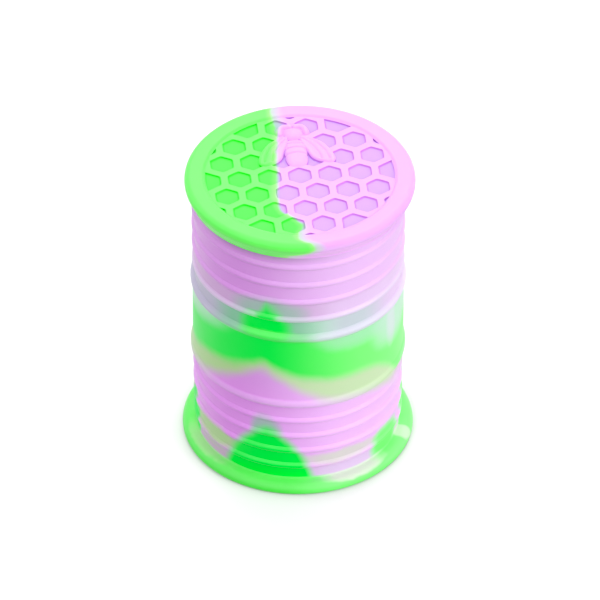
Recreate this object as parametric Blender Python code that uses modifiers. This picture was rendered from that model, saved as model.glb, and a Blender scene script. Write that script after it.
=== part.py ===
"""A small two-piece storage jar in moulded silicone, shaped like an oil drum.

barrel_body is the drum: a thick-walled cup with narrow ribs, two rolling hoops and a base
flange. lid is the cover: a round flange with a honeycomb and a bee in low relief on top, and a
hollow plug below that presses into the mouth.

Metres, +Z up. The origin is on the drum's axis, at the middle of its base. The bee's head
points along +Y.
"""

from math import atan2, cos, hypot, pi, radians, sin, sqrt

import bmesh
import bpy
from mathutils import Matrix, Vector

# Driving dimensions
HEIGHT = 0.0582  # base to the top of the lid's ring
TURN_STEPS = 48  # facets round each turned shape
GAP = 0.0003  # running clearance between lid and body

# Body
FLANGE_RADIUS = 0.0213
FLANGE_HEIGHT = 0.0020
FLANGE_FOOT_ROUND = 0.0005  # bottom outer edge
FOOT_RADIUS = 0.0150  # inner edge of the ring that the drum stands on
FOOT_RECESS = 0.0010
CREST_RADIUS_LOW = 0.0192  # over the lowest rib
CREST_RADIUS_HIGH = 0.0195  # over the highest rib
RIB_RISE = 0.00045
RIB_HALF_WIDTH = 0.0007
CREST_SHARPNESS = 1.2  # narrows the rounded crests a little
BELT_RADIUS = 0.0193  # the smooth stretch between the hoops
HOOP_CREST_RADIUS = 0.01975
UPPER_RIBS = (0.0517, 0.04755, 0.0436, 0.0396)  # heights of the crests
LOWER_RIBS = (0.01565, 0.0121, 0.0086, 0.00495)
HOOPS = ((0.03535, 0.0009), (0.01985, 0.0011))  # height and half width
BORE_RADIUS = 0.0145
FLOOR_THICKNESS = 0.0045
CORNER_RADIUS = 0.0030  # inside, between floor and wall
RIM_ROUND = 0.0008

# Lid
LID_RADIUS = 0.0210
LID_THICKNESS = 0.0035
LID_ROUND = 0.0012  # top outer edge
PARTING_RADIUS = 0.0205  # the side tapers in below its widest point
PARTING_DROP = 0.00205  # from the ring's top to the mould's parting line
SEAT_RADIUS = 0.0199  # outer edge of the underside
SEAT_ROUND = 0.0002
FIELD_RADIUS = 0.0173  # the honeycomb's round field
FIELD_STEP = 0.0003  # the walls' tops lie this far below the ring
PLUG_RADIUS = 0.0139
PLUG_DEPTH = 0.0085
PLUG_BEAD = 0.0003
BEAD_SHARES = (0.30, 0.68)  # places of the two beads down the plug
PLUG_BORE_RADIUS = 0.0114

# Honeycomb
CELL_PITCH = 0.00549
CELL_OPENING = 0.0041  # across flats
CELL_DEPTH = 0.0005
CELL_RINGS = 4
PATTERN_SHIFT = 0.0003  # the relief sits a little to +X of the lid's axis

# Bee. Plan sizes run (x, y) on its right side, and the left side mirrors them
THORAX_RISE = 0.0008
HEAD_RISE = 0.0006
ABDOMEN_RISE = 0.0007
WING_RISE = 0.0003
FORELEG_RISE = 0.0005
WING_ROOT = (0.0010, 0.0112)
WING_ROOT_STEP = 0.0004
WING_LOBES = ((0.0074, 0.0032, 0.0026), (0.0060, 0.0026, 0.0024), (0.0044, 0.0036, 0.0022))
ABDOMEN_BANDS = ((0.0106, 0.0086, 0.0034), (0.0094, 0.0071, 0.0036), (0.0081, 0.0051, 0.0038))
SUNK = 0.0002  # how far the relief reaches below the cell floors

MOUTH_Z = HEIGHT - LID_THICKNESS - GAP
FIELD_Z = HEIGHT - FIELD_STEP
CELL_FLOOR_Z = FIELD_Z - CELL_DEPTH
MERGE = 0.00001


def clear_scene():
    for obj in list(bpy.data.objects):
        bpy.data.objects.remove(obj)


def new_collection(name):
    collection = bpy.data.collections.new(name)
    bpy.context.scene.collection.children.link(collection)
    return collection


def new_material(name, colour, roughness):
    material = bpy.data.materials.new(name)
    material.use_nodes = True
    shader = material.node_tree.nodes["Principled BSDF"]
    shader.inputs["Base Color"].default_value = (*colour, 1.0)
    shader.inputs["Roughness"].default_value = roughness
    shader.inputs["Metallic"].default_value = 0.0
    shader.inputs["IOR"].default_value = 1.41
    return material


def arc(centre_r, centre_z, radius, start, end, steps=3):
    """Points of an arc in the profile's plane. 0 degrees points outwards and 90 points up."""
    turns = [radians(start + (end - start) * i / steps) for i in range(steps + 1)]
    return [(centre_r + radius * cos(t), centre_z + radius * sin(t)) for t in turns]


def turned(name, profile, collection):
    """A solid of revolution about Z. The profile runs down its outer side."""
    mesh = bpy.data.meshes.new(name)
    edges = [(i, i + 1) for i in range(len(profile) - 1)]
    mesh.from_pydata([(r, 0.0, z) for r, z in profile], edges, [])
    obj = bpy.data.objects.new(name, mesh)
    collection.objects.link(obj)
    screw = obj.modifiers.new("turn", "SCREW")
    screw.axis = "Z"
    screw.angle = 2 * pi
    screw.steps = TURN_STEPS
    screw.render_steps = TURN_STEPS
    screw.use_merge_vertices = True
    screw.merge_threshold = MERGE
    screw.use_smooth_shade = True
    return obj


def hide_as_cutter(obj):
    obj.hide_render = True
    obj.display_type = "WIRE"


def boolean(obj, name, operation, operand):
    """Cuts obj with an object, or joins it to every object of a collection."""
    modifier = obj.modifiers.new(name, "BOOLEAN")
    modifier.operation = operation
    modifier.solver = "EXACT"
    if isinstance(operand, bpy.types.Collection):
        modifier.operand_type = "COLLECTION"
        modifier.collection = operand
    else:
        modifier.object = operand


def crest_radius(z):
    """The ribs' crests lean out slightly towards the mouth."""
    share = (z - LOWER_RIBS[-1]) / (UPPER_RIBS[0] - LOWER_RIBS[-1])
    return CREST_RADIUS_LOW + (CREST_RADIUS_HIGH - CREST_RADIUS_LOW) * share


def wall_radius(z):
    """The plain wall: behind the ribs' crests, and fuller between the two hoops."""
    (upper_hoop, _), (lower_hoop, _) = HOOPS
    if lower_hoop < z < upper_hoop:
        return BELT_RADIUS
    return crest_radius(z) - RIB_RISE


def raised_band(z, half_width, crest):
    """A rounded rib or hoop on the wall, top to bottom."""
    points = []
    for step in (-1.0, -0.5, 0.0, 0.5, 1.0):
        band_z = z - step * half_width
        wall = wall_radius(band_z)
        lift = cos(step * pi / 2) ** CREST_SHARPNESS
        points.append((wall + (crest - wall) * lift, band_z))
    return points


def body_profile():
    """From the floor's middle up the bore, over the rim, down the outside and under the foot."""
    floor = FLOOR_THICKNESS
    inside = [(0.0, floor)]
    inside += arc(BORE_RADIUS - CORNER_RADIUS, floor + CORNER_RADIUS, CORNER_RADIUS, -90, 0, 4)
    rim_z = MOUTH_Z - RIM_ROUND
    rim = arc(BORE_RADIUS + RIM_ROUND, rim_z, RIM_ROUND, 180, 90, 2)
    rim += arc(wall_radius(MOUTH_Z) - RIM_ROUND, rim_z, RIM_ROUND, 90, 0, 2)
    bands = [(z, RIB_HALF_WIDTH, crest_radius(z)) for z in UPPER_RIBS + LOWER_RIBS]
    bands += [(z, half_width, HOOP_CREST_RADIUS) for z, half_width in HOOPS]
    outside = []
    for band in sorted(bands, reverse=True):
        outside += raised_band(*band)
    outside.append((wall_radius(FLANGE_HEIGHT), FLANGE_HEIGHT))
    foot = FLANGE_FOOT_ROUND
    nose = FLANGE_HEIGHT - foot
    outside += arc(FLANGE_RADIUS - nose, foot, nose, 90, 0, 5)
    outside += arc(FLANGE_RADIUS - foot, foot, foot, -30, -90, 2)
    under = [(FOOT_RADIUS, 0.0), (FOOT_RADIUS - FOOT_RECESS, FOOT_RECESS), (0.0, FOOT_RECESS)]
    return inside + rim + outside + under


def make_body(collection):
    body = turned("barrel_body", body_profile(), collection)
    body.data.materials.append(new_material("marbled_silicone_body", (0.78, 0.48, 0.86), 0.45))
    return body


def lid_profile():
    """Lid heights are measured from its seat on the mouth, where its own origin is."""
    top = LID_THICKNESS
    field = top - FIELD_STEP
    outline = [(0.0, field), (FIELD_RADIUS, field), (FIELD_RADIUS + FIELD_STEP / 2, top)]
    outline += arc(LID_RADIUS - LID_ROUND, top - LID_ROUND, LID_ROUND, 90, 0, 4)
    outline.append((PARTING_RADIUS, top - PARTING_DROP))
    outline += arc(SEAT_RADIUS - SEAT_ROUND, SEAT_ROUND, SEAT_ROUND, 0, -90, 2)
    return outline + plug_profile()


def plug_profile():
    """Down the plug's outside over its two beads, round its lip and up its hollow."""
    outline = [(PLUG_RADIUS, 0.0)]
    bead_half_width = 2 * PLUG_BEAD
    for share in BEAD_SHARES:
        z = -PLUG_DEPTH * share
        outline.append((PLUG_RADIUS, z + bead_half_width))
        outline.append((PLUG_RADIUS + PLUG_BEAD, z))
        outline.append((PLUG_RADIUS, z - bead_half_width))
    lip = (PLUG_RADIUS - PLUG_BORE_RADIUS) / 3
    outline += arc(PLUG_RADIUS - lip, lip - PLUG_DEPTH, lip, 0, -90, 2)
    outline += arc(PLUG_BORE_RADIUS + lip, lip - PLUG_DEPTH, lip, -90, -180, 2)
    outline += arc(PLUG_BORE_RADIUS - lip, -lip, lip, 0, 90, 2)
    return outline + [(0.0, 0.0)]


def cell_centres():
    """Centres of a honeycomb whose rows run along X, with one cell on the relief's centre."""
    for row in range(-CELL_RINGS, CELL_RINGS + 1):
        for column in range(-CELL_RINGS, CELL_RINGS + 1):
            x = (column + row / 2) * CELL_PITCH
            y = row * CELL_PITCH * sqrt(3) / 2
            if hypot(x, y) < FIELD_RADIUS + CELL_PITCH / 2:
                yield x + PATTERN_SHIFT, y


def make_cell_cutter(seat_z, collection):
    """Hexagonal prisms for every cell, trimmed to the round field."""
    shape = bmesh.new()
    corner_radius = CELL_OPENING / sqrt(3)
    depth = 4 * CELL_DEPTH
    for x, y in cell_centres():
        middle = CELL_FLOOR_Z - seat_z + depth / 2
        bmesh.ops.create_cone(
            shape,
            cap_ends=True,
            segments=6,
            radius1=corner_radius,
            radius2=corner_radius,
            depth=depth,
            matrix=Matrix.Translation((x, y, middle)),
        )
    mesh = bpy.data.meshes.new("cell_cutter")
    shape.to_mesh(mesh)
    shape.free()
    cutter = bpy.data.objects.new("cell_cutter", mesh)
    collection.objects.link(cutter)
    hide_as_cutter(cutter)

    bpy.ops.mesh.primitive_cylinder_add(
        vertices=TURN_STEPS, radius=FIELD_RADIUS - FIELD_STEP, depth=6 * CELL_DEPTH
    )
    field = bpy.context.object
    field.name = "field_disc"
    field.location.z = FIELD_Z
    move_to(field, collection)
    hide_as_cutter(field)
    boolean(cutter, "trim_to_field", "INTERSECT", field)
    return cutter


def move_to(obj, collection):
    for owner in list(obj.users_collection):
        owner.objects.unlink(obj)
    collection.objects.link(obj)


def relief_form(name, start, end, width, rise, collection):
    """A rounded form of the relief: an ellipsoid from start to end in plan, standing on the cell
    floors and rising above the honeycomb's top."""
    centre = ((start[0] + end[0]) / 2 + PATTERN_SHIFT, (start[1] + end[1]) / 2)
    run = Vector((end[0] - start[0], end[1] - start[1]))
    base = CELL_FLOOR_Z - SUNK
    half_sizes = (run.length / 2, width / 2, FIELD_Z + rise - base)
    shape = bmesh.new()
    bmesh.ops.create_uvsphere(shape, u_segments=14, v_segments=8, radius=1.0)
    bmesh.ops.scale(shape, vec=half_sizes, verts=shape.verts)
    mesh = bpy.data.meshes.new(name)
    shape.to_mesh(mesh)
    shape.free()
    form = bpy.data.objects.new(name, mesh)
    form.location = (*centre, base)
    form.rotation_euler.z = atan2(run.y, run.x)
    collection.objects.link(form)
    hide_as_cutter(form)


def make_bee(collection):
    """The bee's head, thorax, banded abdomen, fan-shaped wings and forelegs."""
    relief_form("thorax", (0.0, 0.0137), (0.0, 0.0098), 0.0039, THORAX_RISE, collection)
    relief_form("head", (0.0, 0.0150), (0.0, 0.0123), 0.0030, HEAD_RISE, collection)
    for i, (front, back, width) in enumerate(ABDOMEN_BANDS):
        relief_form(f"band_{i}", (0.0, front), (0.0, back), width, ABDOMEN_RISE, collection)
    relief_form("abdomen_tip", (0.0, 0.0068), (0.0, 0.0023), 0.0036, ABDOMEN_RISE, collection)
    for side, label in ((-1, "left"), (1, "right")):
        for i, (x, y, width) in enumerate(WING_LOBES):
            root = (side * WING_ROOT[0], WING_ROOT[1] - WING_ROOT_STEP * i)
            relief_form(f"wing_{label}_{i}", root, (side * x, y), width, WING_RISE, collection)
        knee, foot = (side * 0.0008, 0.0147), (side * 0.0028, 0.0125)
        relief_form(f"foreleg_{label}", knee, foot, 0.0014, FORELEG_RISE, collection)


def make_lid(collection, cutters):
    """The lid slides up the drum's axis, so its origin is on it, at the seat."""
    seat_z = HEIGHT - LID_THICKNESS
    lid = turned("lid", lid_profile(), collection)
    lid.location.z = seat_z
    lid.data.materials.append(new_material("marbled_silicone_lid", (0.58, 0.90, 0.55), 0.45))

    cell_cutter = make_cell_cutter(seat_z, cutters)
    cell_cutter.location.z = seat_z
    boolean(lid, "honeycomb", "DIFFERENCE", cell_cutter)

    bee = new_collection("bee_forms")
    bee.hide_render = True
    make_bee(bee)
    boolean(lid, "bee", "UNION", bee)
    return lid


def main():
    clear_scene()
    parts = new_collection("silicone_drum_jar")
    cutters = new_collection("cutters")
    cutters.hide_render = True
    make_body(parts)
    make_lid(parts, cutters)


main()
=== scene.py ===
"""The looks of a small silicone jar shaped like an oil drum.

The jar is two mouldings of marbled lilac and green silicone. The drum is a turned cup with ribs,
two rolling hoops and a base flange. The lid has a honeycomb and a bee in low relief on top, and a
plug below that presses into the drum's mouth.

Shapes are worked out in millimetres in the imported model's frame: +Z up, the origin in the middle
of the base, and the bee's head towards +Y. Angles round the drum are in degrees from -Y, which
faces the camera, and grow towards +X.
"""

from math import cos, hypot, pi, radians, sin, sqrt

import bmesh
import bpy
import numpy as np
from mathutils import Matrix, Vector
from mathutils.geometry import delaunay_2d_cdt


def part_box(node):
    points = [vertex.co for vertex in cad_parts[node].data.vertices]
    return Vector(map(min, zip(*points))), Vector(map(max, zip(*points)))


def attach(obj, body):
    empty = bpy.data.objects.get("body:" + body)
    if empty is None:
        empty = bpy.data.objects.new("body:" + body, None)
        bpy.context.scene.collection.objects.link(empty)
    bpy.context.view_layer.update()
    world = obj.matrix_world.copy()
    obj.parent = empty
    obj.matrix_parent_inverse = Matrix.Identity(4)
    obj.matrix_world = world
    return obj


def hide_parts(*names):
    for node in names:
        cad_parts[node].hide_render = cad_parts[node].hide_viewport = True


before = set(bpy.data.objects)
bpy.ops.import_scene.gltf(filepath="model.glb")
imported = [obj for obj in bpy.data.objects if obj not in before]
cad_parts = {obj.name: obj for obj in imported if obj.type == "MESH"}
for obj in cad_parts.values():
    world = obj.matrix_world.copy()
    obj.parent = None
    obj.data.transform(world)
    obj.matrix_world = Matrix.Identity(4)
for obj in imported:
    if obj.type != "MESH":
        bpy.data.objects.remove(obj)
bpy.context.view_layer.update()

MM = 0.001
BODY_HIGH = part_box("barrel_body")[1] / MM
LID_LOW, LID_HIGH = (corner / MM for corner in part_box("lid"))

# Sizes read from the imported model
MOUTH_Z = BODY_HIGH.z
FLANGE_RADIUS = BODY_HIGH.x
LID_RADIUS = LID_HIGH.x
PLUG_LOW_Z = LID_LOW.z

# The lid's heights
LID_THICKNESS = 3.5
LID_CLEARANCE = 0.3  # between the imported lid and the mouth
RING_Z = MOUTH_Z + LID_CLEARANCE + LID_THICKNESS
FIELD_STEP = 0.3
FIELD_Z = RING_Z - FIELD_STEP
CELL_DEPTH = 0.36
CELL_FLOOR_Z = FIELD_Z - CELL_DEPTH

# Honeycomb: pointed cells in rows along X, clipped to a round field
FIELD_RADIUS = 17.3
CELL_CLIP_RADIUS = 17.2
CELL_CLIP_STEEPNESS = 4.0  # how much steeper a pocket's wall is at the field's edge
CELL_PITCH = 5.49
CELL_OPENING = 4.12  # across flats
CELL_RINGS = 4
OUTER_CELLS = 15.5  # cells centred further out than this are cut by the field's edge
OUTWARD = 1.0  # a direction in which a cell's centre lies further than this is outwards
SMALLEST_CELL = 0.10  # the least depth inside its outline of a cell that is made
CORNER_SOFTNESS = 0.13
CELL_SIDES = 44  # points round each of a cell's loops
OUTLINE_SAMPLES = 721
BEND_CROWDING = 1.6  # millimetres of outline that a bend of one radian counts for
LID_SHIFT = 0.25  # the soft lid sits a little to +X of the drum's axis

TURN_STEPS = 216  # points round every turned ring
SHARP_ANGLE = 40  # degrees between two faces from which their edge shows


def clean_shading(mesh):
    mesh.shade_smooth()
    mesh.set_sharp_from_angle(angle=radians(SHARP_ANGLE))


def new_object(name, shape):
    """Makes an object from a closed bmesh in millimetres."""
    bmesh.ops.recalc_face_normals(shape, faces=shape.faces)
    bmesh.ops.scale(shape, vec=(MM, MM, MM), verts=shape.verts)
    mesh = bpy.data.meshes.new(name)
    shape.to_mesh(mesh)
    shape.free()
    made = bpy.data.objects.new(name, mesh)
    bpy.context.scene.collection.objects.link(made)
    return made


def new_piece(name, shape, body, node):
    """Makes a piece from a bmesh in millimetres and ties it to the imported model."""
    piece = new_object(name, shape)
    clean_shading(piece.data)
    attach(piece, body)
    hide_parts(node)
    return piece


def arc(centre_r, centre_z, radius, start, end, steps=6):
    """Points of an arc in a turned profile. 0 degrees points outwards and 90 points up."""
    turns = [radians(start + (end - start) * i / steps) for i in range(steps + 1)]
    return [(centre_r + radius * cos(t), centre_z + radius * sin(t)) for t in turns]


def add_ring(shape, radius, z, steps=TURN_STEPS):
    """A circle of vertices about the axis, or a single vertex on it."""
    if radius < 1e-6:
        return [shape.verts.new((0.0, 0.0, z))]
    turns = [2 * pi * i / steps for i in range(steps)]
    return [shape.verts.new((radius * cos(t), radius * sin(t), z)) for t in turns]


def bridge(shape, first, second):
    """Joins two closed loops of vertices, either of which may be a single point."""
    count = max(len(first), len(second))
    for i in range(count):
        j = (i + 1) % count
        a, b = first[i % len(first)], first[j % len(first)]
        c, d = second[j % len(second)], second[i % len(second)]
        corners = [v for k, v in enumerate((a, b, c, d)) if v not in (a, b, c, d)[:k]]
        shape.faces.new(corners)


def add_turned(shape, profile):
    """A surface of revolution. Returns its first and last rings."""
    rings = [add_ring(shape, r, z) for r, z in profile]
    for first, second in zip(rings, rings[1:]):
        bridge(shape, first, second)
    return rings[0], rings[-1]


# The drum


RIB_RISE = 0.45
RIB_HALF_WIDTH = 0.72
BAND_FULLNESS = 2.2  # how flat a rib's or hoop's crest is
BAND_SOFTNESS = 1.15  # how softly it runs out into the wall
BELT_RADIUS = 19.33
HOOP_CREST_RADIUS = 19.72
UPPER_RIBS = (51.7, 47.55, 43.6, 39.6)
LOWER_RIBS = (15.65, 12.1, 8.6, 4.95)
HOOPS = ((35.35, 0.9), (19.85, 1.1))  # height and half width
CREST_RADIUS_LOW = 19.2
CREST_RADIUS_HIGH = 19.5
BORE_RADIUS = 14.5
BORE_RINGS = (20.0, 34.0, 48.0)  # heights that cut the plain bore into shorter faces
FLOOR_THICKNESS = 4.5
FLOOR_RING = 6.0
INSIDE_CORNER = 3.0
RIM_ROUND = 0.8
FOOT_MARGIN = 0.3  # a plain strip of wall beside each band's foot, so that only the foot shades
FLANGE_HEIGHT = 2.0
FLANGE_FOOT_ROUND = 0.5
FLANGE_FILLET = 0.4
FOOT_RADIUS = 15.0  # the recess under the drum
FOOT_RECESS = 1.0
FOOT_RING = 8.0
RECESS_ROUND = 0.4
RECESS_BEVEL = 0.2


def crest_radius(z):
    """The ribs' crests lean out slightly towards the mouth."""
    share = (z - LOWER_RIBS[-1]) / (UPPER_RIBS[0] - LOWER_RIBS[-1])
    return CREST_RADIUS_LOW + (CREST_RADIUS_HIGH - CREST_RADIUS_LOW) * share


def wall_radius(z):
    """The plain wall: behind the ribs' crests, and fuller between the two hoops."""
    (upper_hoop, _), (lower_hoop, _) = HOOPS
    if lower_hoop < z < upper_hoop:
        return BELT_RADIUS
    return crest_radius(z) - RIB_RISE


def raised_band(z, half_width, crest, steps=10):
    """A rib or hoop with a rounded crest and soft feet, top to bottom."""
    top, bottom = z + half_width + FOOT_MARGIN, z - half_width - FOOT_MARGIN
    points = [(wall_radius(top), top)]
    for i in range(steps + 1):
        across = 2 * i / steps - 1
        lift = (1 - abs(across) ** BAND_FULLNESS) ** BAND_SOFTNESS
        band_z = z - across * half_width
        wall = wall_radius(band_z)
        points.append((wall + (crest - wall) * lift, band_z))
    return points + [(wall_radius(bottom), bottom)]


def drum_profile():
    """From the floor's middle up the bore, over the rim, down the outside and under the foot."""
    floor = FLOOR_THICKNESS
    profile = [(0.0, floor), (FLOOR_RING, floor)]
    profile += arc(BORE_RADIUS - INSIDE_CORNER, floor + INSIDE_CORNER, INSIDE_CORNER, -90, 0, 10)
    profile += [(BORE_RADIUS, z) for z in BORE_RINGS]
    rim_z = MOUTH_Z - RIM_ROUND
    profile += arc(BORE_RADIUS + RIM_ROUND, rim_z, RIM_ROUND, 180, 90)
    profile += arc(wall_radius(MOUTH_Z) - RIM_ROUND, rim_z, RIM_ROUND, 90, 0)
    bands = [(z, RIB_HALF_WIDTH, crest_radius(z)) for z in UPPER_RIBS + LOWER_RIBS]
    bands += [(z, half_width, HOOP_CREST_RADIUS) for z, half_width in HOOPS]
    for band in sorted(bands, reverse=True):
        profile += raised_band(*band)
    return profile + base_profile()


def base_profile():
    """The base flange's rounded side and the drum's underside, from the wall down."""
    foot = FLANGE_FOOT_ROUND
    nose = FLANGE_HEIGHT - foot
    fillet = FLANGE_FILLET
    side = arc(wall_radius(FLANGE_HEIGHT) + fillet, FLANGE_HEIGHT + fillet, fillet, 180, 265, 5)
    side += arc(FLANGE_RADIUS - nose, foot, nose, 88, 0, 10)
    side += arc(FLANGE_RADIUS - foot, foot, foot, -12, -90, 5)
    under = [(FOOT_RADIUS + RECESS_BEVEL, 0.0)]
    under += arc(FOOT_RADIUS - RECESS_ROUND, FOOT_RECESS - RECESS_ROUND, RECESS_ROUND, 0, 90, 4)
    return side + under + [(FOOT_RING, FOOT_RECESS), (0.0, FOOT_RECESS)]


def make_drum():
    shape = bmesh.new()
    add_turned(shape, drum_profile())
    return new_piece("drum_moulding", shape, "body", "barrel_body")


# The lid


SEAT_GAP = 0.17  # the dark line between the lid and the rim it rests on
SEAT_Z = MOUTH_Z + SEAT_GAP
SEAT_RADIUS = 19.95
LID_EDGE_ROUND = 1.2
LID_EDGE_INSET = 0.03
PARTING_RADIUS = 20.5  # where the two halves of the mould met, below the widest point
PARTING_Z = RING_Z - 2.05
PLUG_RADIUS = 13.9
PLUG_BORE_RADIUS = 11.4
PLUG_BEAD = 0.3
PLUG_BEADS_AT = (0.30, 0.68)  # shares of the way down the plug
UNDERSIDE_RING = 5.0

# Small turned details, as steps outwards and up from a starting point
FIELD_EDGE = ((-0.03, 0.0), (0.04, -0.02), (0.12, 0.02), (0.26, 0.16), (0.42, 0.27), (0.60, 0.30))
PARTING_RIDGE = ((0.03, 0.10), (0.13, 0.07), (0.17, 0.0), (0.13, -0.06), (0.0, -0.12))
SEAT_LIP = ((0.08, 0.34), (0.0, 0.24), (0.05, 0.13), (0.0, 0.04), (-0.10, 0.0), (-0.70, 0.0))
PLUG_ROOT = ((0.3, 0.0), (0.06, -0.06), (0.0, -0.3))


def detail(radius, z, steps):
    return [(radius + out, z + up) for out, up in steps]


def lid_rim_profile():
    """From the field's edge over the ring, down the flange and round the plug to the axis."""
    edge = LID_EDGE_ROUND
    profile = detail(FIELD_RADIUS, FIELD_Z, FIELD_EDGE)
    profile += arc(LID_RADIUS - LID_EDGE_INSET - edge, RING_Z - edge, edge, 90, -38, 14)
    profile += detail(PARTING_RADIUS, PARTING_Z, PARTING_RIDGE)
    profile += detail(SEAT_RADIUS, SEAT_Z, SEAT_LIP)
    return profile + plug_profile()


def plug_bead(z):
    """A round bead about the plug, as wide as twice its rise on each side of its middle."""
    steps = [i / 3 - 1 for i in range(7)]
    return [(PLUG_RADIUS + PLUG_BEAD * cos(t * pi / 2), z - t * 2 * PLUG_BEAD) for t in steps]


def plug_profile():
    """Down the outside of the hollow plug, round its lip, up its inside and in to the axis."""
    lip = (PLUG_RADIUS - PLUG_BORE_RADIUS) / 3
    profile = detail(PLUG_RADIUS, SEAT_Z, PLUG_ROOT)
    for share in PLUG_BEADS_AT:
        profile += plug_bead(SEAT_Z - (SEAT_Z - PLUG_LOW_Z) * share)
    profile += arc(PLUG_RADIUS - lip, PLUG_LOW_Z + lip, lip, 0, -90)
    profile += arc(PLUG_BORE_RADIUS + lip, PLUG_LOW_Z + lip, lip, -90, -180)
    profile += arc(PLUG_BORE_RADIUS - lip, SEAT_Z - lip, lip, 0, 90)
    return profile + [(UNDERSIDE_RING, SEAT_Z), (0.0, SEAT_Z)]


def cell_distance(x, y, centre):
    """How far a point lies outside a cell's wall, with the hexagon's corners rounded."""
    on_edge = hypot(*centre) > OUTER_CELLS
    total = 0.0
    for i in range(6):
        to_x, to_y = cos(radians(60 * i)), sin(radians(60 * i))
        if on_edge and centre[0] * to_x + centre[1] * to_y > OUTWARD:
            continue  # the pocket runs on to the field's edge on this side
        across = (x - centre[0]) * to_x + (y - centre[1]) * to_y
        total = total + np.exp((across - CELL_OPENING / 2) / CORNER_SOFTNESS)
    hexagon = CORNER_SOFTNESS * np.log(total)
    return np.maximum(hexagon, (np.hypot(x, y) - CELL_CLIP_RADIUS) * CELL_CLIP_STEEPNESS)


def cell_centres():
    """Centres of the honeycomb's cells, with one on the relief's centre."""
    for row in range(-CELL_RINGS, CELL_RINGS + 1):
        for column in range(-2 * CELL_RINGS, 2 * CELL_RINGS + 1):
            x = (column + row % 2 / 2) * CELL_PITCH
            y = row * CELL_PITCH * sqrt(3) / 2
            if hypot(x, y) < FIELD_RADIUS + CELL_PITCH / 2:
                yield x, y


def deepest_point(centre):
    """The point furthest inside a cell's wall, and how far inside it is."""
    steps = np.linspace(-CELL_OPENING / 2, CELL_OPENING / 2, 41)
    x, y = np.meshgrid(centre[0] + steps, centre[1] + steps)
    inside = cell_distance(x, y, centre)
    at = np.unravel_index(inside.argmin(), inside.shape)
    return (x[at], y[at]), -inside[at]


def ray_to_level(origin, turns, centre, level):
    """Distances from a cell's deepest point at which the wall distance reaches a level."""
    near = np.zeros_like(turns)
    far = np.full_like(turns, CELL_PITCH)
    for _ in range(30):
        middle = (near + far) / 2
        x = origin[0] + middle * np.cos(turns)
        y = origin[1] + middle * np.sin(turns)
        outside = cell_distance(x, y, centre) > level
        far = np.where(outside, middle, far)
        near = np.where(outside, near, middle)
    return near


def cell_turns(origin, centre):
    """Directions from a cell's deepest point, crowded where its outline bends."""
    turns = np.linspace(0, 2 * pi, OUTLINE_SAMPLES)
    reach = ray_to_level(origin, turns, centre, 0.0)
    x, y = reach * np.cos(turns), reach * np.sin(turns)
    heading = np.unwrap(np.arctan2(np.diff(y), np.diff(x)))
    bend = np.abs(np.diff(heading, prepend=heading[0]))
    length = np.hypot(np.diff(x), np.diff(y))
    travelled = np.concatenate(([0.0], np.cumsum(length + BEND_CROWDING * bend)))
    places = np.linspace(0, travelled[-1], CELL_SIDES, endpoint=False)
    return np.interp(places, travelled, turns)


# A cell's wall from its top edge to its floor: inward offset and depth, in millimetres
CELL_WALL = (
    (-0.18, 0.0),
    (-0.12, 0.0),
    (-0.07, 0.012),
    (-0.03, 0.05),
    (0.0, 0.10),
    (0.04, 0.20),
    (0.08, 0.26),
    (0.16, 0.295),
    (0.30, 0.325),
    (0.50, 0.345),
    (0.80, CELL_DEPTH),
)
CELL_FILL = 0.8  # the most of a small cell's inside that its wall takes up


def add_cell(shape, centre):
    """A cell's pocket. Returns its outermost loop, or nothing where too little of it is left."""
    origin, depth_inside = deepest_point(centre)
    if depth_inside < SMALLEST_CELL:
        return None
    turns = cell_turns(origin, centre)
    squeeze = min(1.0, CELL_FILL * depth_inside / CELL_WALL[-1][0])
    loops = []
    for inward, drop in CELL_WALL:
        level = -inward * (squeeze if inward > 0 else 1.0)
        reach = ray_to_level(origin, turns, centre, level)
        z = FIELD_Z - drop
        loop = [
            shape.verts.new((origin[0] + r * cos(t), origin[1] + r * sin(t), z))
            for r, t in zip(reach, turns)
        ]
        loops.append(loop)
    loops.append([shape.verts.new((origin[0], origin[1], CELL_FLOOR_Z))])
    for first, second in zip(loops, loops[1:]):
        bridge(shape, first, second)
    return loops[0]


# For delaunay_2d_cdt: which triangles it gives back, and how near two points are one
INSIDE_THE_EDGES = 1
SAME_POINT = 1e-5


def fill_field(shape, edge_ring, cell_loops):
    """The flat tops of the honeycomb's walls, between the cells and the field's edge."""
    loops = [edge_ring] + cell_loops
    verts = [v for loop in loops for v in loop]
    edges = []
    start = 0
    for loop in loops:
        count = len(loop)
        edges += [(start + i, start + (i + 1) % count) for i in range(count)]
        start += count
    flat = [Vector((v.co.x, v.co.y)) for v in verts]
    found = delaunay_2d_cdt(flat, edges, [], INSIDE_THE_EDGES, SAME_POINT)
    _, _, triangles, came_from, _, _ = found
    owner = {}
    first = 0
    for number, loop in enumerate(loops):
        for i in range(len(loop)):
            owner[first + i] = number
        first += len(loop)
    for triangle in triangles:
        corners = [came_from[i][0] for i in triangle]
        owners = {owner[i] for i in corners}
        if len(owners) == 1 and owners != {0}:
            continue  # all its corners are on one cell, so it lies in that cell
        shape.faces.new([verts[i] for i in corners])


def merge(piece, part):
    """Joins a part's solid into a piece as one mesh. The part itself isn't kept."""
    join = piece.modifiers.new(part.name, "BOOLEAN")
    join.operation = "UNION"
    join.solver = "EXACT"
    join.object = part
    graph = bpy.context.evaluated_depsgraph_get()
    joined = bpy.data.meshes.new_from_object(piece.evaluated_get(graph), depsgraph=graph)
    piece.modifiers.clear()
    plain = piece.data
    piece.data = joined
    joined.name = plain.name
    bpy.data.meshes.remove(plain)
    bpy.data.objects.remove(part)
    clean_shading(joined)


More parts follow.
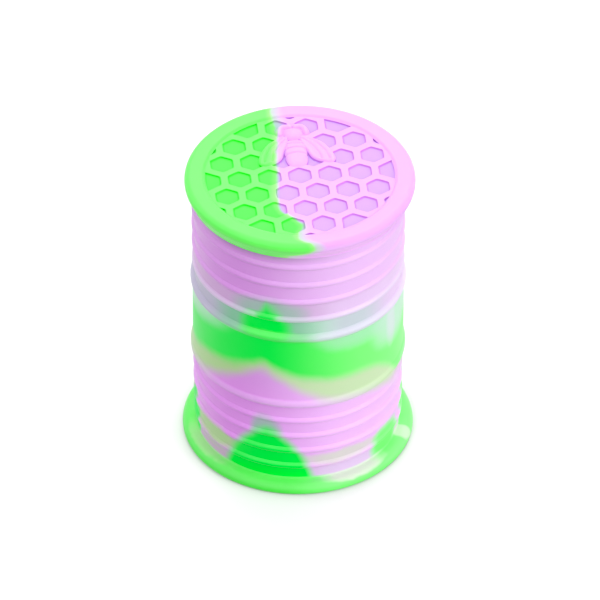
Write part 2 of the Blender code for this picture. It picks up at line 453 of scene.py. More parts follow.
def make_lid():
    shape = bmesh.new()
    field_edge, _ = add_turned(shape, lid_rim_profile())
    cell_loops = [add_cell(shape, centre) for centre in cell_centres()]
    fill_field(shape, field_edge, [loop for loop in cell_loops if loop])
    bmesh.ops.translate(shape, vec=(LID_SHIFT, 0.0, 0.0), verts=shape.verts)
    lid = new_piece("lid_moulding", shape, "cover", "lid")
    merge(lid, make_bee())
    return lid


# The bee


def dome(x, y, middle_y, half_x, half_y, power):
    """1 at the middle of an oval on the bee's line, 0 at its edge and negative outside."""
    d = np.abs(x / half_x) ** power + np.abs((y - middle_y) / half_y) ** power
    return np.where(d < 1, np.sqrt(np.maximum(1 - d, 0)), 1 - d)


def distance_to_path(x, y, points):
    nearest = np.full(x.shape, 1e9)
    for (ax, ay), (bx, by) in zip(points, points[1:]):
        run = (bx - ax) ** 2 + (by - ay) ** 2
        share = np.clip(((x - ax) * (bx - ax) + (y - ay) * (by - ay)) / run, 0, 1)
        distance = np.hypot(x - ax - share * (bx - ax), y - ay - share * (by - ay))
        nearest = np.minimum(nearest, distance)
    return nearest


def ridge(x, y, points, half_width):
    """1 along a smooth path, 0 at its sides and negative outside."""
    d = (distance_to_path(x, y, points) / half_width) ** 2
    return np.where(d < 1, np.sqrt(np.maximum(1 - d, 0)), 1 - d)


def curve(start, bend, end, steps=12):
    """Points along a quadratic curve."""
    points = []
    for i in range(steps + 1):
        t = i / steps
        a, b, c = (1 - t) ** 2, 2 * t * (1 - t), t * t
        points.append(tuple(a * p + b * q + c * r for p, q, r in zip(start, bend, end)))
    return points


def stack(form, top):
    """Height of a rounded form: its foot where the form is 0, and its top where it is 1."""
    return BEE_FOOT + np.where(form > 0, top - BEE_FOOT, BEE_FALL) * form


def join_heights(a, b):
    """The larger of two heights, blended where they meet."""
    gap = np.clip(0.5 + (a - b) / (4 * BEE_SOFTNESS), 0, 1)
    return b + (a - b) * gap + BEE_SOFTNESS * gap * (1 - gap)


def outline(points, steps=8):
    """A smooth closed line through the points."""
    count = len(points)
    line = []
    for i in range(count):
        p0, p1, p2, p3 = (np.array(points[(i + k) % count]) for k in (-1, 0, 1, 2))
        for j in range(steps):
            t = j / steps
            bend = 2 * p0 - 5 * p1 + 4 * p2 - p3
            twist = 3 * p1 - p0 - 3 * p2 + p3
            line.append((2 * p1 + (p2 - p0) * t + bend * t**2 + twist * t**3) / 2)
    return np.array(line)


def depth_inside(x, y, line):
    """How far inside a closed line a point lies. Negative outside."""
    closed = np.vstack((line, line[:1]))
    inside = np.zeros(x.shape, bool)
    for (ax, ay), (bx, by) in zip(closed, closed[1:]):
        crossing_x = (bx - ax) * (y - ay) / (by - ay + 1e-12) + ax
        inside ^= ((ay > y) != (by > y)) & (x < crossing_x)
    nearest = distance_to_path(x, y, closed)
    return np.where(inside, nearest, -nearest)


def groove(x, y, path, half_width):
    """1 along a path, falling smoothly to 0."""
    return np.exp(-((distance_to_path(x, y, path) / half_width) ** 2))


# The right wing's edge, from its root round the tip and back. The left one mirrors it
WING_EDGE = (
    (1.0, 11.2), (2.4, 11.15), (3.9, 10.4), (5.4, 9.0), (6.5, 6.9), (7.05, 5.0), (6.95, 3.7),
    (6.1, 3.15), (4.9, 3.4), (3.6, 4.0), (2.6, 5.1), (2.0, 6.8), (1.2, 9.0),
)
WING_TOP = 0.36
WING_EDGE_ROUND = 0.55
VEIN_HALF_WIDTH = 0.20
VEIN_DEPTH = 0.20
ABDOMEN_GROOVES = (9.15, 7.65, 6.05)
BEE_FOOT = -CELL_DEPTH - 0.15  # all heights on the bee are over the tops of the cells' walls
BEE_FALL = 3  # how steeply a form's height drops outside its foot
BEE_SOFTNESS = 0.03
BEE_SPACING = 0.10  # of the grid that the bee's surface is drawn on
BEE_HALF_WIDTH = 7.8
BEE_Y = (1.6, 15.8)
BEE_SUNK = -CELL_DEPTH - 0.5  # its flat underside
BEE_MARGIN = 0.05  # the least height of its sides


def wing_height(x, y):
    """A flat plate with a rounded edge and two furrows along it."""
    inside = depth_inside(x, y, outline(WING_EDGE))
    rise = np.clip(inside / WING_EDGE_ROUND, 0, 1)
    plate = BEE_FOOT + (WING_TOP - BEE_FOOT) * np.sqrt(1 - (1 - rise) ** 2)
    veins = (
        curve((1.3, 10.7), (3.9, 8.3), (4.5, 4.3)),
        curve((2.3, 10.6), (5.3, 8.4), (5.95, 4.2)),
    )
    cut = sum(groove(x, y, vein, VEIN_HALF_WIDTH) for vein in veins)
    height = plate - VEIN_DEPTH * cut * (rise > 0)
    return np.where(inside > 0, height, BEE_FOOT + BEE_FALL * inside)


def abdomen_height(x, y):
    """A blunt barrel in four segments."""
    belly = dome(x, y, 6.45, 2.15, 4.15, 3.2)
    bow = y + 0.10 * x**2
    grooves = sum(np.exp(-(((bow - g) / 0.20) ** 2)) for g in ABDOMEN_GROOVES)
    swell = sum(np.exp(-(((bow - g + 0.75) / 0.45) ** 2)) for g in ABDOMEN_GROOVES)
    return stack(belly, 0.72) - 0.24 * grooves * (belly > 0) + 0.04 * swell


def thorax_height(x, y):
    """A round knob with fine furrows like fur."""
    fur = 0.035 * np.cos(4.6 * x) * np.cos(2.3 * (y - 11.9))
    return stack(dome(x, y, 11.95, 1.85, 1.8, 2.2), 0.85) + fur


def bee_height(x, y):
    """Height of the bee's surface, with its two sides alike. Far below the cells outside it."""
    side = np.abs(x)
    collar = stack(dome(x, y, 12.5, 2.45, 2.1, 2.4), 0.28)
    foreleg = curve((0.55, 14.15), (2.35, 14.45), (2.45, 12.3))
    height = join_heights(wing_height(side, y), abdomen_height(x, y))
    height = join_heights(height, collar)
    height = join_heights(height, thorax_height(x, y))
    return join_heights(height, stack(ridge(side, y, foreleg, 0.74), 0.58))


def make_bee():
    """The bee as a closed solid, sunk into the lid. It is only kept as part of the lid."""
    xs = np.arange(-BEE_HALF_WIDTH, BEE_HALF_WIDTH + BEE_SPACING / 2, BEE_SPACING)
    ys = np.arange(*BEE_Y, BEE_SPACING)
    height = bee_height(*np.meshgrid(xs, ys))
    shape = bmesh.new()
    top, bottom = {}, {}

    def corner(row, column):
        """Makes the vertices over and under a grid point when they are first needed."""
        key = (row, column)
        if key not in top:
            x, y = xs[column] + LID_SHIFT, ys[row]
            z = max(height[key], BEE_SUNK + BEE_MARGIN)
            top[key] = shape.verts.new((x, y, FIELD_Z + z))
            bottom[key] = shape.verts.new((x, y, FIELD_Z + BEE_SUNK))
        return key

    # Squares of the grid, and the sides of squares with nothing beyond them
    in_bee = height > BEE_SUNK + BEE_MARGIN
    sides = {}
    for row in range(len(ys) - 1):
        for column in range(len(xs) - 1):
            if not in_bee[row : row + 2, column : column + 2].any():
                continue
            around = ((0, 0), (0, 1), (1, 1), (1, 0))
            keys = [corner(row + down, column + along) for down, along in around]
            shape.faces.new([top[k] for k in keys])
            shape.faces.new([bottom[k] for k in reversed(keys)])
            for a, b in zip(keys, keys[1:] + keys[:1]):
                if sides.pop((b, a), None) is None:
                    sides[(a, b)] = True
    for a, b in sides:
        shape.faces.new([top[b], top[a], bottom[a], bottom[b]])
    return new_object("bee", shape)


# Materials

# Linear colours of the two silicones as they are on the drum, and of what they blend to
LILAC = (0.67, 0.285, 0.75)
LIT_LILAC = (0.80, 0.50, 0.88)
GREEN = (0.0, 0.84, 0.055)
MILKY_GREEN = (0.19, 0.92, 0.18)
MAUVE = (0.60, 0.42, 0.64)
ROSE = (0.76, 0.55, 0.84)
ASH = (0.49, 0.46, 0.60)
TEAL = (0.24, 0.54, 0.35)
PALE_TEAL = (0.54, 0.78, 0.64)
MINT = (0.38, 0.80, 0.46)
MIST = (0.55, 0.61, 0.66)
PALE = (0.76, 0.72, 0.86)
FOOT_GREEN = (0.09, 0.82, 0.08)
PALE_CREAM = (0.68, 0.80, 0.62)
OLIVE = (0.38, 0.68, 0.22)
CREAM = (0.53, 0.76, 0.39)
SHEEN_WHITE = (0.95, 0.86, 0.98)  # painted sheen, a whitish veil on what faces up
LID_LILAC = (0.75, 0.345, 0.85)
LID_GREEN = (0.09, 0.87, 0.065)
LID_SEAM = (0.46, 0.56, 0.52)

# Factors for each channel
LOW_LILAC_LIGHT = (1.08, 1.0, 1.07)  # painted light: the lilac below the belt is made lighter
UNDER_LID_SHADE = (0.79, 0.85, 0.79)  # painted shade on the wall just under the lid
# Painted shade in the honeycomb's pockets, deeper on their walls
POCKET_SHADE = (0.78, 0.93, 0.96)
POCKET_WALL_SHADE = (0.88, 0.93, 0.88)
# Painted highlight on the lid's parting line, and painted light on its side below
PARTING_HIGHLIGHT = (1.16, 1.16, 1.12)

# Powers for each channel
# Painted shade that deepens the pockets' walls
POCKET_WALL_SHADE_POWER = 1.5
# Painted light that makes the lid's side paler
LID_SIDE_LIGHT_POWER = 0.75


# Where a Mix node keeps its share, its two colours and its result
MIX_SHARE, MIX_UNDER, MIX_OVER = 0, 6, 7
MIX_RESULT = 2


class Paint:
    """A material in the making: its nodes, and short ways to add to them."""

    def __init__(self, name):
        self.material = bpy.data.materials.new(name)
        self.material.use_nodes = True
        self.tree = self.material.node_tree
        self.shader = self.tree.nodes["Principled BSDF"]

    def node(self, kind, **settings):
        node = self.tree.nodes.new(kind)
        for name, value in settings.items():
            setattr(node, name, value)
        return node

    def feed(self, socket, source):
        """Links a socket to another one, or sets it to a plain value."""
        if isinstance(source, bpy.types.NodeSocket):
            self.tree.links.new(source, socket)
        else:
            socket.default_value = source

    def math(self, operation, *sources):
        node = self.node("ShaderNodeMath", operation=operation)
        for socket, source in zip(node.inputs, sources):
            self.feed(socket, source)
        return node.outputs[0]

    def step(self, value, low, high):
        """0 up to low and 1 from high on, with a smooth rise between."""
        node = self.node("ShaderNodeMapRange", interpolation_type="SMOOTHSTEP")
        for socket, source in zip(node.inputs, (value, low, high)):
            self.feed(socket, source)
        return node.outputs[0]

    def above(self, value, edge, softness):
        return self.step(self.math("SUBTRACT", value, edge), -softness, softness)

    def below(self, value, edge, softness):
        return self.step(self.math("SUBTRACT", edge, value), -softness, softness)

    def power(self, colour, exponent):
        """Each channel raised to a power: deeper above 1, and paler below it."""
        node = self.node("ShaderNodeGamma")
        self.feed(node.inputs["Color"], colour)
        node.inputs["Gamma"].default_value = exponent
        return node.outputs[0]

    def blend(self, under, over, share):
        """One colour laid over another. share is how much of it covers."""
        node = self.node("ShaderNodeMix", data_type="RGBA")
        self.feed(node.inputs[MIX_SHARE], share)
        for place, colour in ((MIX_UNDER, under), (MIX_OVER, over)):
            is_plain = isinstance(colour, tuple)
            self.feed(node.inputs[place], (*colour, 1.0) if is_plain else colour)
        return node.outputs[MIX_RESULT]

    def tint(self, colour, factor, share):
        """A colour multiplied by a factor for each channel."""
        node = self.node("ShaderNodeMix", data_type="RGBA", blend_type="MULTIPLY")
        self.feed(node.inputs[MIX_SHARE], share)
        self.feed(node.inputs[MIX_UNDER], colour)
        self.feed(node.inputs[MIX_OVER], (*factor, 1.0))
        return node.outputs[MIX_RESULT]

    def curve(self, value, low, high, points, top):
        """A smooth curve through (value, result) points, for results from 0 to top."""
        share = self.math("DIVIDE", self.math("SUBTRACT", value, low), high - low)
        node = self.node("ShaderNodeFloatCurve")
        line = node.mapping.curves[0]
        places = [((v - low) / (high - low), result / top) for v, result in points]
        for _ in places[2:]:
            line.points.new(0.5, 0.5)
        for point, place in zip(line.points, places):
            point.location = place
            point.handle_type = "AUTO_CLAMPED"
        node.mapping.update()
        self.feed(node.inputs["Value"], share)
        return self.math("MULTIPLY", node.outputs[0], top)


class PlacedPaint(Paint):
    """Paint that knows its place on the jar in millimetres, and whether that faces up."""

    def __init__(self, name):
        super().__init__(name)
        coordinates = self.node("ShaderNodeTexCoord").outputs
        scaled = self.node("ShaderNodeVectorMath", operation="SCALE")
        self.feed(scaled.inputs[0], coordinates["Object"])
        scaled.inputs["Scale"].default_value = 1 / MM
        self.point = scaled.outputs[0]
        self.x, self.y, self.z = self.parts(self.point)
        self.facing_up = self.step(self.parts(coordinates["Normal"])[2], 0.1, 0.65)

    def parts(self, vector):
        node = self.node("ShaderNodeSeparateXYZ")
        self.feed(node.inputs[0], vector)
        return node.outputs

    def square_of_radius(self, x):
        """The square of the distance from the axis, with X as given."""
        return self.math("ADD", self.math("MULTIPLY", x, x), self.math("MULTIPLY", self.y, self.y))

    def noise(self, scale, detail=2.0):
        """Noise around zero, mostly from -0.5 to 0.5. scale is in lumps per millimetre."""
        node = self.node("ShaderNodeTexNoise")
        self.feed(node.inputs["Vector"], self.point)
        node.inputs["Scale"].default_value = scale
        node.inputs["Detail"].default_value = detail
        return self.math("SUBTRACT", node.outputs["Fac"], 0.5)


class DrumPaint(PlacedPaint):
    """Paint laid out by the angle round the drum and the height, both stirred a little."""

    def __init__(self, name):
        super().__init__(name)
        to_front = self.math("MULTIPLY", self.y, -1.0)
        turn = self.math("DEGREES", self.math("ARCTAN2", self.x, to_front))
        self.turn = self.math("MULTIPLY_ADD", self.noise(0.16), 4.0, turn)
        self.flow = self.math("MULTIPLY_ADD", self.noise(0.3), 0.9, self.z)
        self.not_behind = self.step(self.turn, 172, 112)

    def edge(self, points):
        """A height that varies with the angle."""
        return self.curve(self.turn, -180, 180, points, 60)

    def to_right(self, low, high):
        """Rises from 0 to 1 between two angles, and falls back to 0 behind."""
        return self.math("MULTIPLY", self.step(self.turn, low, high), self.not_behind)

    def oval(self, turn, z, half_turn, half_z, softness, power=2.0, tilt=0.0):
        """1 inside a soft oval, placed and sized in degrees round the drum and millimetres up it.

        A power above 2 squares it off. tilt is in millimetres of rise for each degree.
        """
        across = self.math("SUBTRACT", self.turn, turn)
        level = self.math("SUBTRACT", self.flow, z)
        level = self.math("MULTIPLY_ADD", across, -tilt, level)
        wide = self.math("ABSOLUTE", self.math("DIVIDE", across, half_turn))
        high = self.math("ABSOLUTE", self.math("DIVIDE", level, half_z))
        wide, high = self.math("POWER", wide, power), self.math("POWER", high, power)
        return self.step(self.math("ADD", wide, high), 1 + softness, 1 - softness)

    def dabs(self, under, *rows):
        """Soft ovals laid over a colour. A row is a colour, how much of it covers, and an oval."""
        for colour, share, *oval in rows:
            under = self.blend(under, colour, self.math("MULTIPLY", self.oval(*oval), share))
        return under

    def band(self, z, half_height):
        """1 on a rib or hoop."""
        off = self.math("ABSOLUTE", self.math("SUBTRACT", self.z, z))
        return self.step(off, half_height, half_height / 2)


def cloudy_shoulder(paint, colour):
    """Above the belt the lilac clouds over, band by band, and green shows through in places."""
    cloudy = paint.below(paint.flow, 43.2, 1.2)
    colour = paint.blend(colour, MAUVE, paint.math("MULTIPLY", cloudy, 0.7))
    colour = paint.blend(colour, ROSE, paint.math("MULTIPLY", cloudy, paint.to_right(-5, 20)))
    colour = paint.dabs(colour, (TEAL, 0.68, -23, 40.6, 20, 3.2, 0.8))
    shade = paint.blend(ASH, TEAL, paint.to_right(-64, -44))
    shade = paint.blend(shade, PALE_TEAL, paint.to_right(-14, 20))
    shade = paint.blend(shade, MIST, paint.to_right(0, 22))
    shade = paint.blend(shade, ROSE, paint.to_right(30, 58))
    colour = paint.blend(colour, shade, paint.below(paint.flow, 39.4, 0.6))
    return paint.dabs(
        colour,
        (GREEN, 1.0, -25, 37.4, 14, 3.0, 0.75, 2.5),
        (GREEN, 0.95, -24, 39.2, 7.5, 3.4, 0.7, 1.1, 0.15),
        (MILKY_GREEN, 0.4, -20, 35.5, 21, 1.1, 0.6),
        (GREEN, 1.0, 128, 36.0, 26, 5.5, 0.5),
    )


# Lower edges of the drum's green belt and of the fringe below it, as heights at angles
BELT_LOW = (
    (-180, 24), (-168, 24.6), (-150, 26.5), (-120, 23), (-85, 23.8), (-66, 25.4), (-50, 26.4),
    (-40, 27.4), (-32, 28.6), (-26, 29.2), (-19, 28.2), (-8, 26.7), (10, 25.4), (35, 24.8),
    (45, 23.6), (54, 21.4), (63, 18.8), (85, 18), (110, 24), (145, 27), (168, 24.6), (180, 24),
)
FRINGE_LOW = (
    (-180, 22), (-168, 22.7), (-150, 25), (-120, 18), (-85, 19.6), (-66, 20.8), (-52, 22.7),
    (-40, 24.8), (-32, 26.5), (-26, 27.4), (-19, 26.2), (-8, 23.8), (0, 22.2), (10, 20.6),
    (35, 19.0), (50, 17.7), (60, 16.8), (70, 17.0), (85, 16), (110, 22), (145, 26), (168, 22.7),
    (180, 22),
)


def green_belt(paint, lilac, green):
    """The belt between the hoops, cloudy at its top and with a cream fringe below."""
    fringe = paint.blend(OLIVE, CREAM, paint.to_right(-50, 0))
    in_fringe = paint.math("MULTIPLY", paint.above(paint.flow, paint.edge(FRINGE_LOW), 1.9), 0.9)
    belt = paint.blend(lilac, fringe, in_fringe)
    belt = paint.blend(belt, green, paint.above(paint.flow, paint.edge(BELT_LOW), 1.5))
    return paint.dabs(
        belt,
        (PALE_TEAL, 0.75, -90, 35.5, 38, 4.2, 0.8),
        (MINT, 0.85, 30, 35.2, 26, 3.7, 0.8),
        (PALE_TEAL, 0.85, 58, 32.4, 18, 5.2, 0.9),
        (PALE, 0.5, 54.5, 31.8, 4.4, 5.0, 0.95),
        (PALE_TEAL, 0.8, 84, 33.0, 14, 4.0, 0.8),
    )


def domed_foot(paint, colour, green):
    """Green rises from the base in domes, with streaks between them."""
    return paint.dabs(
        colour,
        (TEAL, 0.7, -25, 13.0, 8.5, 3.2, 0.7),
        (OLIVE, 0.85, -64, 6.9, 24, 2.0, 0.7),
        (MAUVE, 0.8, -63, 4.3, 13, 0.9, 0.7),
        (OLIVE, 0.3, -60, 3.2, 20, 1.0, 0.8),
        (CREAM, 0.55, 20, 6.3, 24, 1.2, 0.9),
        (MIST, 0.4, 26, 3.2, 24, 1.6, 0.8),
        (GREEN, 1.0, -23.8, 1.0, 27, 12.4, 0.2, 1.45),
        (green, 1.0, 53, 4.2, 13, 3.2, 0.75, 2.5),
        (GREEN, 1.0, -90, 4.0, 11, 6.0, 0.4),
        (green, 1.0, 92, 5.0, 16, 8.0, 0.5),
        (TEAL, 0.85, 136, 11.0, 20, 6.0, 0.5),
        (GREEN, 1.0, 134, 1.0, 32, 13.0, 0.2, 1.5),
        (GREEN, 1.0, -140, 1.0, 28, 9.0, 0.25, 1.5),
        (CREAM, 0.8, -112, 8.0, 16, 2.0, 0.8),
    )


def base_flange(paint, colour):
    """The flange is green, milkier to the right, with painted highlights and pale patches on its
    top.
    """
    green = paint.dabs(
        paint.blend(FOOT_GREEN, MILKY_GREEN, paint.to_right(-15, 15)),
        # Painted highlights on the flange's top, right of the front and at the left
        (PALE_CREAM, 0.95, 28, 2.3, 19, 0.8, 0.6),
        (CREAM, 0.5, -68, 2.3, 22, 0.6, 0.8),
    )
    return paint.dabs(
        paint.blend(colour, green, paint.below(paint.z, 2.25, 0.25)),
        (PALE_CREAM, 0.7, 69, 2.2, 4.5, 1.6, 0.5),
        (CREAM, 0.8, -156, 2.2, 10, 1.6, 0.8),
    )


def pale_crest(paint, colour, z, half_height, share, gap):
    """A rib or hoop that is paler than the wall, except in an oval gap."""
    crest = paint.math("SUBTRACT", paint.band(z, half_height), paint.oval(*gap))
    crest = paint.math("MAXIMUM", crest, 0.0)
    return paint.blend(colour, PALE, paint.math("MULTIPLY", crest, share))


def pale_crests(paint, colour):
    """The lowest of the upper ribs and the hoops are paler, except where green crosses them."""
    hoop_share = paint.math("MULTIPLY", paint.to_right(-70, 50), 0.6)
    colour = pale_crest(paint, colour, UPPER_RIBS[-1], 0.8, 0.4, (-24, 40, 6, 4, 0.8))
    colour = pale_crest(paint, colour, HOOPS[0][0], 1.1, hoop_share, (-20, 35.5, 20, 5, 0.6))
    return pale_crest(paint, colour, HOOPS[1][0], 1.1, 0.15, (54, 20, 12, 4, 0.8))


def drum_lilac(paint):
    """Deepest to the left of the front. Painted light makes it paler round both sides, and lighter
    below the belt.
    """
    # Painted light: paler to the right, where the key light falls, and at the left edge
    lilac = paint.blend(LILAC, LIT_LILAC, paint.to_right(-46, 22))
    left, further_left = paint.step(paint.turn, -50, -85), paint.step(paint.turn, -100, -150)
    at_left = paint.math("SUBTRACT", left, further_left)
    lilac = paint.blend(lilac, LIT_LILAC, paint.math("MULTIPLY", at_left, 0.3))
    # Painted light below the belt
    return paint.tint(lilac, LOW_LILAC_LIGHT, paint.below(paint.flow, 24, 3))


def drum_marbling(paint):
    """Lilac with a green belt between the hoops and a green foot that rises in domes."""
    lilac = drum_lilac(paint)
    green = paint.blend(GREEN, MILKY_GREEN, paint.to_right(-26, 34))
    belt = green_belt(paint, lilac, green)
    colour = cloudy_shoulder(paint, lilac)
    colour = paint.blend(colour, belt, paint.below(paint.z, 35.0, 0.25))
    colour = domed_foot(paint, colour, green)
    colour = base_flange(paint, colour)
    colour = pale_crests(paint, colour)
    # Painted shade on the wall just under the lid, on the left
    on_left = paint.math("SUBTRACT", 1.0, paint.to_right(-20, 35))
    under_lid_shade = paint.math("MULTIPLY", paint.above(paint.z, 53.0, 0.7), on_left)
    return paint.tint(colour, UNDER_LID_SHADE, under_lid_shade)


def painted_sheen(paint, colour, share):
    """Painted sheen: a faint pale veil on what faces up, where light from above is reflected."""
    return paint.blend(colour, SHEEN_WHITE, paint.math("MULTIPLY", paint.facing_up, share))


def silicone(paint, colour):
    """A soft, slightly translucent rubber with a satin skin."""
    shader = paint.shader
    paint.feed(shader.inputs["Base Color"], colour)
    shader.inputs["IOR"].default_value = 1.41
    shader.inputs["Subsurface Weight"].default_value = 0.25
    shader.inputs["Subsurface Radius"].default_value = (1.0, 0.8, 1.0)
    shader.inputs["Subsurface Scale"].default_value = 0.9 * MM
    shader.inputs["Sheen Weight"].default_value = 0.25
    shader.inputs["Sheen Roughness"].default_value = 0.5
    patches = paint.noise(0.3)
    paint.feed(shader.inputs["Roughness"], paint.math("MULTIPLY_ADD", patches, 0.10, 0.46))
    bump = paint.node("ShaderNodeBump")
    bump.inputs["Strength"].default_value = 0.25
    bump.inputs["Distance"].default_value = 0.03 * MM
    paint.feed(bump.inputs["Height"], paint.noise(2.5, 4.0))
    paint.feed(shader.inputs["Normal"], bump.outputs[0])
    return paint.material


def drum_material():
    paint = DrumPaint("drum_silicone")
    # Painted sheen on what faces up
    return silicone(paint, painted_sheen(paint, drum_marbling(paint), 0.07))


# The line between the lid's two colours: how far to +X it lies at places along Y
LID_SPLIT = (
    (-23, 1.2), (-21, 1.1), (-20.3, 0.6), (-19.6, -0.7), (-18.2, -1.7), (-16.4, -1.5),
    (-14.4, -0.7), (-12.6, -1.5), (-11, -3.1), (-9, -4.1), (-6.5, -4.35), (0, -3.8), (8, -3.0),
    (14.5, -2.4), (17, -2.8), (23, -2.6),
)
SPLIT_REACH = 23.0  # along Y, past the lid's edge
SPLIT_OFFSET = 10.0  # keeps what the curve gives above zero


def lid_marbling(paint):
    """Green on one side and lilac on the other, with a pale line between."""
    shifted = [(along, across + SPLIT_OFFSET) for along, across in LID_SPLIT]
    split = paint.curve(paint.y, -SPLIT_REACH, SPLIT_REACH, shifted, 2 * SPLIT_OFFSET)
    across = paint.math("SUBTRACT", paint.math("ADD", paint.x, SPLIT_OFFSET), split)
    across = paint.math("MULTIPLY_ADD", paint.noise(0.4), 0.9, across)
    # Down the lid's side the lilac gains on the green
    drop = paint.math("MAXIMUM", paint.math("SUBTRACT", RING_Z - 1.0, paint.z), 0.0)
    across = paint.math("MULTIPLY_ADD", paint.math("MINIMUM", drop, 2.0), 1.5, across)
    # The pale line is wider near the lid's edge
    near_edge = paint.step(paint.math("ABSOLUTE", paint.math("ADD", paint.y, 0.5)), 12.5, 16.5)
    pale_to = paint.math("MULTIPLY_ADD", near_edge, 1.8, 0.4)
    olive = paint.math("MULTIPLY", paint.step(across, -1.6, -0.2), 0.5)
    colour = paint.blend(LID_GREEN, OLIVE, olive)
    colour = paint.blend(colour, LID_SEAM, paint.step(across, -0.6, 0.15))
    return paint.blend(colour, LID_LILAC, paint.step(across, -0.3, pale_to))


def pocket_masks(paint):
    """1 in the honeycomb's pockets, and 1 on their walls, fading over the floors' edges."""
    x = paint.math("SUBTRACT", paint.x, LID_SHIFT)
    inside = paint.step(paint.square_of_radius(x), (FIELD_RADIUS + 0.2) ** 2, FIELD_RADIUS**2)
    drop = paint.math("SUBTRACT", FIELD_Z, paint.z)
    between = paint.math("MULTIPLY", paint.above(drop, 0.02, 0.02), paint.below(drop, 1.0, 0.1))
    pocket = paint.math("MULTIPLY", between, inside)
    return pocket, paint.math("MULTIPLY", pocket, paint.below(drop, 0.295, 0.055))


def parting_highlight(paint):
    """Where painted light goes: 1 for a painted highlight on the mould's parting line round the
    lid's side, and less for painted light below it.
    """
    square = paint.square_of_radius(paint.x)
    outer = paint.step(square, (SEAT_RADIUS - 1) ** 2, (SEAT_RADIUS - 0.6) ** 2)
    off = paint.math("ABSOLUTE", paint.math("SUBTRACT", paint.z, PARTING_Z + 0.05))
    line = paint.step(off, 0.20, 0.08)
    below = paint.math("MULTIPLY", paint.below(paint.z, PARTING_Z, 0.1), 0.6)
    return paint.math("MULTIPLY", paint.math("MAXIMUM", line, below), outer)


def lid_material():
    """The pockets carry painted shade, deeper on their walls than on their floors, and painted
    light makes the lid's side paler.
    """
    paint = PlacedPaint("lid_silicone")
    colour = lid_marbling(paint)
    pocket, wall = pocket_masks(paint)
    # Painted shade: the pockets' floors are darkened and their walls deeper still
    floors = paint.tint(colour, POCKET_SHADE, 1.0)
    walls = paint.tint(paint.power(colour, POCKET_WALL_SHADE_POWER), POCKET_WALL_SHADE, 1.0)
    pockets = paint.blend(floors, walls, wall)
    # Painted light: the lid's sides are made paler, less so on the right
    lit_side = paint.math("SUBTRACT", 1.0, paint.facing_up)
    lit_side = paint.math("MULTIPLY", lit_side, paint.step(paint.x, 26, 6))
    outside = painted_sheen(paint, colour, 0.08)
    outside = paint.blend(outside, paint.power(colour, LID_SIDE_LIGHT_POWER), lit_side)
    # Painted highlight on the parting line, and painted light below it
    outside = paint.tint(outside, PARTING_HIGHLIGHT, parting_highlight(paint))
    return silicone(paint, paint.blend(outside, pockets, pocket))


PAPER_GREY = 0.75
PAPER_GLOW = 0.21
SHADE_REACH = 3.5


def paper_material():
    """White paper, lit from below like a light table, with a soft shade where the jar stands."""
    paint = Paint("floor_paper")
    shade = paint.node("ShaderNodeAmbientOcclusion")
    shade.inputs["Distance"].default_value = SHADE_REACH * MM
    bright = paint.math("MULTIPLY_ADD", shade.outputs["AO"], 0.5, 0.5)
    grey = paint.node("ShaderNodeCombineColor")
    level = paint.math("MULTIPLY", bright, PAPER_GREY)
    for socket in grey.inputs:
        paint.feed(socket, level)
    paint.feed(paint.shader.inputs["Base Color"], grey.outputs[0])
    paint.feed(paint.shader.inputs["Roughness"], 0.9)
    paint.feed(paint.shader.inputs["Emission Color"], (1.0, 1.0, 1.0, 1.0))
    glow = paint.math("MULTIPLY", bright, PAPER_GLOW)
    paint.feed(paint.shader.inputs["Emission Strength"], glow)
    return paint.material


# Studio


CAMERA_TURN = -6.41  # degrees round the drum from -Y
CAMERA_RISE = 39.13
CAMERA_ROLL = 0.20
CAMERA_DISTANCE = 1600.0
CAMERA_LENS = 524.1
AIM_SIDE, AIM_Z = 0.34, 28.82  # what it looks at: to its right of the axis, and up

# The studio round the jar, in metres
FLOOR_HALF_SIZE = 3.0
LIGHT_DISTANCE = 0.9
LIGHT_AIM_Z = 0.03
WORLD_ABOVE, WORLD_BELOW = 0.62, 0.58
FILM_BLACK = (0.042, 0.03, 0.035)  # what is darker than this shows as black


def direction(turn, rise):
    """From the jar towards a place round it and up."""
    turn, rise = radians(turn), radians(rise)
    return Vector((sin(turn) * cos(rise), -cos(turn) * cos(rise), sin(rise)))


def make_camera():
    turn, roll = radians(CAMERA_TURN), radians(CAMERA_ROLL)
    back = direction(CAMERA_TURN, CAMERA_RISE)
    right = Vector((cos(turn), sin(turn), 0.0))
    aim = right * AIM_SIDE + Vector((0.0, 0.0, AIM_Z))
    up = back.cross(right)
    right, up = right * cos(roll) + up * sin(roll), up * cos(roll) - right * sin(roll)
    data = bpy.data.cameras.new("camera")
    data.lens = CAMERA_LENS
    data.sensor_width = 36.0
    data.clip_end = 20.0
    camera = bpy.data.objects.new("camera", data)
    place = Matrix((right, up, back)).transposed().to_4x4()
    place.translation = (aim + back * CAMERA_DISTANCE) * MM
    camera.matrix_world = place
    bpy.context.scene.collection.objects.link(camera)
    bpy.context.scene.camera = camera


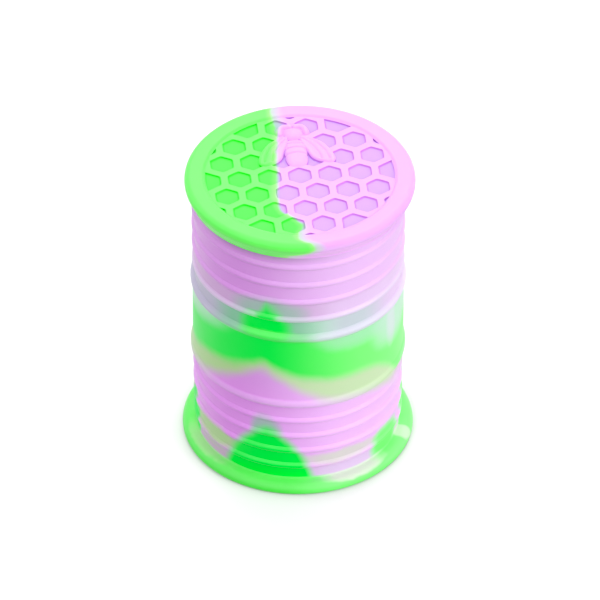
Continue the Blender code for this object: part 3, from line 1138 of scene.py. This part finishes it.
def make_floor():
    shape = bmesh.new()
    bmesh.ops.create_grid(shape, x_segments=1, y_segments=1, size=FLOOR_HALF_SIZE)
    mesh = bpy.data.meshes.new("floor")
    shape.to_mesh(mesh)
    shape.free()
    mesh.materials.append(paper_material())
    floor = bpy.data.objects.new("floor", mesh)
    bpy.context.scene.collection.objects.link(floor)
    floor.visible_diffuse = False  # its glow doesn't light the jar from below


def area_light(name, turn, rise, size, power):
    """A soft square light that faces the jar, placed by angles like the camera's."""
    back = direction(turn, rise)
    data = bpy.data.lights.new(name, "AREA")
    data.shape = "SQUARE"
    data.size = size
    data.energy = power
    light = bpy.data.objects.new(name, data)
    light.location = back * LIGHT_DISTANCE + Vector((0, 0, LIGHT_AIM_Z))
    light.rotation_euler = back.to_track_quat("Z", "Y").to_euler()
    bpy.context.scene.collection.objects.link(light)


def make_world():
    """White light all round, stronger from above the horizon than from below it."""
    world = bpy.data.worlds.new("studio")
    world.use_nodes = True
    tree = world.node_tree
    place = tree.nodes.new("ShaderNodeTexCoord")
    parts = tree.nodes.new("ShaderNodeSeparateXYZ")
    tree.links.new(place.outputs["Generated"], parts.inputs[0])
    fade = tree.nodes.new("ShaderNodeMapRange")
    fade.interpolation_type = "SMOOTHSTEP"
    fade.inputs["From Min"].default_value = -0.3
    fade.inputs["From Max"].default_value = 0.4
    fade.inputs["To Min"].default_value = WORLD_BELOW
    fade.inputs["To Max"].default_value = WORLD_ABOVE
    tree.links.new(parts.outputs["Z"], fade.inputs["Value"])
    background = tree.nodes["Background"]
    background.inputs["Color"].default_value = (1.0, 1.0, 1.0, 1.0)
    tree.links.new(fade.outputs[0], background.inputs["Strength"])
    bpy.context.scene.world = world


def make_studio():
    make_floor()
    make_world()
    area_light("key", turn=54, rise=23, size=0.6, power=4.6)
    area_light("fill", turn=-32, rise=38, size=0.9, power=2.7)
    area_light("rim", turn=-110, rise=30, size=0.6, power=1.2)
    area_light("top", turn=CAMERA_TURN + 180, rise=58, size=0.7, power=4.7)
    view = bpy.context.scene.view_settings
    view.view_transform = "Standard"
    view.use_curve_mapping = True
    view.curve_mapping.black_level = FILM_BLACK


drum = make_drum()
drum.data.materials.append(drum_material())
lid = make_lid()
lid.data.materials.append(lid_material())
make_camera()
make_studio()
